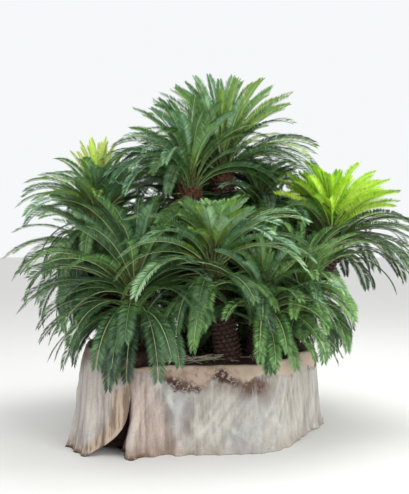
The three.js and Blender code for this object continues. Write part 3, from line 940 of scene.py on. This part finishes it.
CHANGED = {  # what is otherwise in the whorl of one head
    "top_young": dict(count=60, rise=67, stagger=15, droop=38, share=0.96, wide=0.58),
    "top_full": dict(count=60, rise=36),
    "top_old": dict(count=34, rise=-4, stagger=20, shortest=0.7),
    "upper_left_full": dict(count=64, rise=50, stagger=18, droop=100, fold=0.35),
    "upper_left_old": dict(count=46, rise=-4, stagger=18, shortest=0.7),
    "middle_right_young": dict(share=0.5),
    "middle_right_full": dict(rise=20, share=0.85),
    "middle_right_old": dict(count=52, rise=-10, stagger=28, shortest=0.6),
    "left_young": dict(count=22, rise=80, stagger=9, droop=16, wide=0.4, fold=1.1),
    "left_full": dict(count=44, rise=50, stagger=16, share=0.88),
    "left_old": dict(count=46, rise=-8, stagger=24, shortest=0.7),
    "right_young": dict(count=70, rise=61, stagger=16, droop=40, share=0.76),
    "right_full": dict(count=66, rise=30, stagger=15, lean=0.2, wide=1.1, fold=0.25),
    "right_old": dict(count=30, shortest=0.75, lean=0.5, wide=0.75),
    "front_young": dict(
        count=44, rise=67, stagger=15, droop=42, share=0.59, wide=0.78, fold=0.72, glow=0.44
    ),
    "front_full": dict(count=54, rise=44, stagger=18, droop=84, wide=1.05, fold=0.36),
    "front_old": dict(count=36),
    "low_left_full": dict(count=50),
    "low_left_old": dict(count=50, stagger=20),
    "low_front_old": dict(count=34),
    "rear_left_old": dict(count=60, rise=-6, stagger=30, shortest=0.6),
    "rear_old": dict(count=71, rise=-10, stagger=32, shortest=0.7),
    "rear_right_old": dict(count=84, rise=-4, stagger=28, shortest=0.6),
}
TURNS = [0, 8, -8, 16, -16, 24, -24, 32]  # what a frond may shift by to come clear
LIFTS = [0, 7, -7, 14, -12, 21]
LENGTHS = [1, 0.94, 0.87, 0.75, 0.62]
LOWEST_TIPS = [  # in front, by x
    (-0.8, 0.5), (-0.68, 0.43), (-0.5, 0.56), (-0.32, 0.54), (-0.15, 0.66), (0.02, 0.72),
    (0.08, 0.94), (0.2, 0.94), (0.27, 0.72), (0.35, 0.68), (0.5, 0.58), (0.7, 0.6),
]
LOWEST_RIGHT = [(0.8, 0.7), (1.2, 1.06)]  # on the right head, by x
LOWEST_BEHIND = 0.56
RIGHT_REACH = [  # how far out to the right the other heads reach below the right one: (height, x)
    (0.5, 1.15), (0.65, 1.25), (0.9, 1.3), (0.985, 1.48), (1.06, 1.25), (1.4, 1.14), (1.48, 2.0),
]
EYE_HEIGHT = 1.6
EYE_AWAY = 6.25  # in front of the clump's middle
PARTED = {  # where the fronds of a head part over its trunk: heading, spread
    "front_old": (-76, 10), "front_full": (-92, 36), "low_left_full": (-84, 20),
    "top_old": (-92, 52), "top_full": (-90, 36), "upper_left_old": (-60, 50),
    "upper_left_full": (-55, 42), "right_full": (-92, 28), "right_old": (-75, 35),
}
BALL_GAP = 0.06  # least room between a midrib and the ball
TRUNK_GAP = 0.035  # and between it and a trunk
LEAFLETS = 96  # along each side of a frond
LEAFLET_WIDTH = 0.0092
GREENS = {
    "lime": hue(176, 222, 38), "spring": hue(126, 180, 34), "grass": hue(70, 134, 34),
    "pale_lime": hue(206, 232, 96), "straw": hue(196, 206, 120), "yellow": hue(146, 170, 66),
    "olive": hue(84, 98, 52), "sheen": hue(142, 180, 132), "fresh": hue(114, 156, 82),
    "bluish": hue(98, 138, 102), "moss": hue(124, 158, 66), "mid": hue(82, 122, 62),
    "deep": hue(54, 88, 48), "dark": hue(36, 62, 40),
}
NEAR = {  # the shades of some leaflets on a frond of a shade: lighter, darker, and at its base
    "lime": "pale_lime spring grass", "spring": "lime yellow grass",
    "grass": "spring mid mid", "pale_lime": "lime lime spring",
    "straw": "pale_lime yellow yellow", "yellow": "straw fresh yellow",
    "sheen": "sheen bluish moss", "fresh": "sheen mid moss",
    "bluish": "sheen mid mid", "moss": "yellow fresh olive",
    "olive": "moss deep olive", "mid": "fresh deep olive",
    "deep": "mid dark mid", "dark": "deep deep deep",
}
DEALT = {  # the shades of a whorl's fronds, by age or for the whorl of one head
    "old": "deep mid dark deep mid",
    "full": "mid fresh mid deep bluish mid",
    "young": "fresh mid fresh bluish fresh",
    "top_full": "mid moss moss deep bluish mid",
    "top_young": "bluish moss fresh bluish moss sheen",
    "front_full": "sheen bluish sheen bluish fresh",
    "front_young": "fresh sheen fresh sheen moss",
    "upper_left_full": "bluish mid bluish deep",
    "upper_left_young": "bluish mid fresh",
    "middle_right_full": "deep dark bluish mid",
    "middle_right_young": "deep bluish mid",
    "low_left_full": "deep dark mid deep",
    "low_left_young": "mid deep bluish mid deep",
    "low_left_old": "deep dark deep",
    "left_young": "straw pale_lime straw",
    "right_full": "mid deep olive deep mid olive",
    "right_old": "deep mid dark",
    "right_young": "lime lime spring pale_lime",
    "left_full": "bluish fresh bluish moss sheen",
    "low_right_full": "fresh bluish mid fresh",
    "low_right_young": "mid fresh mid",
    "low_front_full": "mid bluish mid deep",
}
PALE_RIBS = {"old": 0.8, "full": 0.55, "young": 0.8}  # the share that show pale on a low head
HIGH_HEAD = 1.5
PALE_ON_HIGH = 0.4  # of that share
BALL = [
    (main_outline, MAIN_LEAN, 0, MAIN_MIDDLE),
    (side_loop, SIDE_LEAN, SIDE_LIFT, np.array([-0.65, -0.25])),
]
trunk_lines = [np.array([trunk_path(head)(share) for share in np.linspace(0, 1, 16)])
               for head in HEADS]


def rib_line(frond, steps=40):
    """A frond's midrib from its root to its tip, bending down along its length."""
    share = np.linspace(0, 1, steps + 1)
    middle = (share[1:] + share[:-1]) / 2
    rise = np.radians(frond["rise"] - frond["droop"] * middle ** frond["bend"])
    heading = np.radians(frond["heading"] + frond["sweep"] * middle**2)
    level = np.column_stack([np.cos(heading), np.sin(heading)]) * np.cos(rise)[:, None]
    step = np.column_stack([level, np.sin(rise)])
    line = np.concatenate([[np.zeros(3)], np.cumsum(step, axis=0)]) * frond["length"] / steps
    return line + frond["root"]


def is_clear(line, own, spare):
    """True for a midrib that is clear of the ball, the ground and the trunks, and not out too far.

    spare is how far its tip stays above the lowest that a tip there may hang.
    """
    low, high = np.array(solids_box)
    is_right = HEADS[own]["name"] == "right"
    tip = line[np.argmin(line[:, 2])]
    lowest = LOWEST_BEHIND
    if is_right or tip[1] < -0.3:
        lowest = np.interp(tip[0], *zip(*(LOWEST_RIGHT if is_right else LOWEST_TIPS)))
    if tip[2] < lowest + spare or (line < low + 0.03).any() or (line > high - 0.02).any():
        return False
    back = 1 + line[:, 1] / EYE_AWAY  # what stands further back may reach further out
    seen = EYE_HEIGHT + (line[:, 2] - EYE_HEIGHT) / back
    if not is_right and (line[:, 0] > back * np.interp(seen, *zip(*RIGHT_REACH))).any():
        return False
    for outline, lean, lift, middle in BALL:
        under = line[line[:, 2] < SOIL_HEIGHT + lift + 0.05]
        if len(under):
            ground = unlean(under[:, :2], lean, under[:, 2], lift)
            if beyond(ground, outline, middle).min() < BALL_GAP:
                return False
    for index, trunk in enumerate(trunk_lines):
        near = line[10:] if index == own else line
        near = near[near[:, 2] < trunk[-1, 2] + (0 if index == own else 0.1)]
        if len(near):
            x, y = (np.interp(near[:, 2], trunk[:, 2], trunk[:, k]) for k in (0, 1))
            if np.hypot(near[:, 0] - x, near[:, 1] - y).min() < TRUNK_RADIUS + TRUNK_GAP:
                return False
    return True


def clear_frond(wanted, own, spare):
    """The first of the shifted fronds that is clear of everything, or nothing."""
    for keep in LENGTHS:
        for lift in LIFTS:
            for turn in TURNS:
                frond = dict(wanted)
                frond["heading"] += turn
                frond["rise"] += lift
                frond["length"] *= keep
                if is_clear(rib_line(frond), own, spare):
                    return frond
    return None


def whorl_of(head, own, whorl, start_turn, chance):
    """The fronds of one whorl of a head."""
    parting, spread = whorl["parted"]
    crown = np.array(head["crown"])
    lean = crown[:2] - head["foot"]
    tilt = whorl["lean"] * math.degrees(math.atan2(np.hypot(*lean), crown[2] - SOIL_HEIGHT))
    reach = FROND_LENGTH * head["size"] * whorl["share"]
    fronds = []
    for i in range(whorl["count"]):
        heading = start_turn + i * 360 / whorl["count"] + chance.uniform(-6, 6)
        if abs((heading - parting + 180) % 360 - 180) < spread:
            continue
        towards = math.cos(math.radians(heading) - math.atan2(lean[1], lean[0]))
        spread_evenly = i * 0.618 % 1  # from 0 to 1, out of step with the heading
        level = whorl["rise"] + 2.6 * (spread_evenly - 0.5) * whorl["stagger"]
        inside = TRUNK_RADIUS * whorl["root"]
        turn = math.radians(heading)
        spring = chance.uniform(*whorl["spring"])
        frond = clear_frond({
            "root": crown + (inside * math.cos(turn), inside * math.sin(turn), spring),
            "heading": heading,
            "sweep": chance.gauss(0, 5),
            "rise": level - tilt * towards + chance.uniform(-4, 4),
            "droop": whorl["droop"] * chance.uniform(0.92, 1.1),
            "bend": whorl["bend"],
            "length": reach * chance.uniform(whorl["shortest"], 1.02),
            "span": FROND_SPAN * head["size"] * whorl["wide"] * chance.uniform(0.88, 1.05),
            "fold": whorl["fold"] + chance.gauss(0, 0.06),
            "roll": chance.gauss(0, 0.22),
            "glow": whorl.get("glow", 0.28),
        }, own, chance.uniform(0, 0.26))
        if frond:
            fronds.append(frond)
    return fronds


def frame_along(frond, share):
    """Points on a midrib at these shares of its length, with the directions there."""
    line = rib_line(frond)
    at = np.linspace(0, 1, len(line))
    points, along = (
        np.column_stack([np.interp(share, at, value) for value in values.T])
        for values in (line, np.gradient(line, axis=0))
    )
    along = unit(along)
    left = unit(np.cross((0, 0, 1.0), along))
    up = np.cross(along, left)
    roll = frond["roll"] * share[:, None]
    left, up = left * np.cos(roll) + up * np.sin(roll), up * np.cos(roll) - left * np.sin(roll)
    return points, along, left, up


def leaflets_of(frond, chance, shades):
    """A frond's leaflets as narrow pointed strips: points, triangles and a shade for each.

    shades are the frond's own, a lighter and a darker one for some of its leaflets, and the one
    that its base has.
    """
    place = np.linspace(0, 1, LEAFLETS)
    share = STALK_SHARE * 0.8 + (0.99 - STALK_SHARE * 0.8) * place
    base, along, left, up = frame_along(frond, share)
    reach = frond["span"] * np.interp(place, (0, 0.14, 0.45, 0.85, 1), (0.3, 0.8, 0.95, 0.78, 0.35))
    ahead = frond["span"] * np.interp(place, (0, 0.14, 0.5, 0.85, 1), (0.2, 0.5, 0.65, 0.75, 0.65))
    points, paint = [], []
    for sideways in (1, -1):
        jitter = 1 + 0.07 * chance.standard_normal((LEAFLETS, 3))
        tip = left * (sideways * reach * jitter[:, 0])[:, None]
        tip = tip + up * (reach * frond["fold"] * jitter[:, 1])[:, None]
        tip = tip + along * (ahead * jitter[:, 2])[:, None]
        length = np.linalg.norm(tip, axis=1)[:, None]
        way = tip / length
        normal = unit(np.cross(way, np.cross(up, way)))
        twist = 0.24 * chance.standard_normal((LEAFLETS, 1))
        across = np.cross(way, normal) * np.cos(twist) + normal * np.sin(twist)
        across *= LEAFLET_WIDTH / 2
        rows = [
            base + tip * far + normal * (length * bend) + across * wide
            for far, wide, bend in ((0, 0, 0), (0.5, 1, 0.05), (0.5, -1, 0.05), (1, 0, -0.07))
        ]
        points.append(np.stack(rows, axis=1).reshape(-1, 3))
        mixed = chance.choice(shades[:3], LEAFLETS, p=(0.76, 0.13, 0.11))
        near_base = place + 0.1 * chance.standard_normal(LEAFLETS) < frond["glow"]
        paint.append(np.where(near_base, shades[3], mixed))
    shape = np.array([(0, 2, 1), (1, 2, 3)])
    faces = (shape[None] + 4 * np.arange(2 * LEAFLETS)[:, None, None]).reshape(-1, 3)
    return np.concatenate(points), faces, np.repeat(np.concatenate(paint), 2)


def midrib_of(frond, sides=3, steps=12):
    """A frond's midrib, with the short spines of its stalk: points and triangles."""
    share = np.linspace(0, 1, steps)
    base, _, left, up = frame_along(frond, share)
    thick = np.interp(share, (0, 0.06, 0.2, 1), (0.011, 0.0075, 0.0052, 0.0016))[:, None]
    rows = []
    for a in np.linspace(0, 2 * math.pi, sides, endpoint=False):
        rows.append(base + left * thick * math.cos(a) + up * thick * 0.8 * math.sin(a))
    points, quads = skin(np.stack(rows, axis=1))
    quads = np.array(quads)
    base, along, left, up = frame_along(frond, np.linspace(0.05, STALK_SHARE, 6))
    spines = []
    for sideways in (1, -1):
        root = base + left * sideways * 0.004
        point = root + left * sideways * 0.014 + along * 0.006 + up * 0.004
        spine = np.stack([root - along * 0.003, root + along * 0.003, point], axis=1)
        spines.append(spine.reshape(-1, 3))
    spines = np.concatenate(spines)
    thorns = np.arange(len(spines)).reshape(-1, 3) + len(points)
    faces = np.concatenate([quads[:, [0, 1, 2]], quads[:, [0, 2, 3]], thorns])
    return np.concatenate([points, spines]), faces


leaf_materials = [
    new_material(
        "leaf_" + shade, Base_Color=colour, Roughness=0.5, Coat_Weight=0.06, Coat_Roughness=0.4
    )[0]
    for shade, colour in GREENS.items()
]
rib_materials = [
    new_material(name, Base_Color=colour, Roughness=0.45)[0]
    for name, colour in (("rib_green", hue(112, 136, 84)), ("rib_pale", hue(180, 194, 136)),
                         ("rib_lime", hue(204, 222, 110)))
]
for number, head in enumerate(HEADS):
    chance = random.Random(900 + number)
    jitter = np.random.default_rng(900 + number)
    midribs = []
    for turn, age in enumerate(("young", "full", "old")):
        whorl, slot = WHORLS[age], "leaf_" + age
        if age == "young" and "flush" in head:
            whorl, slot = {**FLUSH, "share": head["flush"]}, "leaf_lime"
        group = f"{head['name']}_{age}"
        dealt = DEALT.get(group, DEALT[age]).split()
        whorl = {**whorl, **CHANGED.get(group, {}), "parted": PARTED.get(group, (0, 0))}
        leaflets = []
        for frond in whorl_of(head, number, whorl, 360 * chance.random() + turn * 25, chance):
            shade = chance.choice(dealt)
            shades = [list(GREENS).index(name) for name in (shade, *NEAR[shade].split())]
            leaflets.append(leaflets_of(frond, jitter, shades))
            many = PALE_RIBS[age] * (1 if head["crown"][2] < HIGH_HEAD else PALE_ON_HIGH)
            pale = chance.random() < many
            midribs.append((*midrib_of(frond), 2 if slot == "leaf_lime" else int(pale)))
        made = joined("leaflets_" + group, leaflets, leaf_materials)
        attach(made, "root")
        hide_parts("fronds_" + group)
    ribs = joined("midribs_" + head["name"], midribs, rib_materials, smooth=True)
    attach(ribs, "root")

# The stand for the picture: a plain pale floor, soft studio light from above and from both sides
# in front, and a camera at eye height.
floor = piece("floor", [(-60, -60, 0), (60, -60, 0), (60, 60, 0), (-60, 60, 0)], [(0, 1, 2, 3)])
paint = new_material("pale_floor", Base_Color=(0.72, 0.71, 0.69, 1), Roughness=0.9)[0]
floor.data.materials.append(paint)

scene = bpy.context.scene
scene.world = bpy.data.worlds.new("sky_light")
scene.world.use_nodes = True
sky = scene.world.node_tree.nodes["Background"]
sky.inputs["Color"].default_value = (0.97, 0.99, 1.0, 1)
sky.inputs["Strength"].default_value = 0.95
for name, place, size, power in (
    ("key", (-3.5, -4.5, 6.5), 4.0, 150), ("top", (1.5, 1.0, 7.5), 5.0, 320),
    ("fill", (4.5, -6.0, 3.5), 4.0, 310),
):
    lamp = bpy.data.lights.new(name, "AREA")
    lamp.size = size
    lamp.energy = power
    holder = bpy.data.objects.new(name, lamp)
    holder.location = place
    holder.rotation_mode = "QUATERNION"
    holder.rotation_quaternion = (Vector((0, 0, 1.4)) - Vector(place)).to_track_quat("-Z", "Y")
    scene.collection.objects.link(holder)
scene.view_settings.view_transform = "Standard"

LENS = 52.6
LOOK_DOWN = 0.555  # degrees
camera = bpy.data.cameras.new("camera")
camera.lens = LENS
camera.sensor_width = 36
viewer = bpy.data.objects.new("camera", camera)
viewer.location = (0, -EYE_AWAY, EYE_HEIGHT)
viewer.rotation_euler = (math.radians(90 - LOOK_DOWN), 0, 0)
scene.collection.objects.link(viewer)
scene.camera = viewer
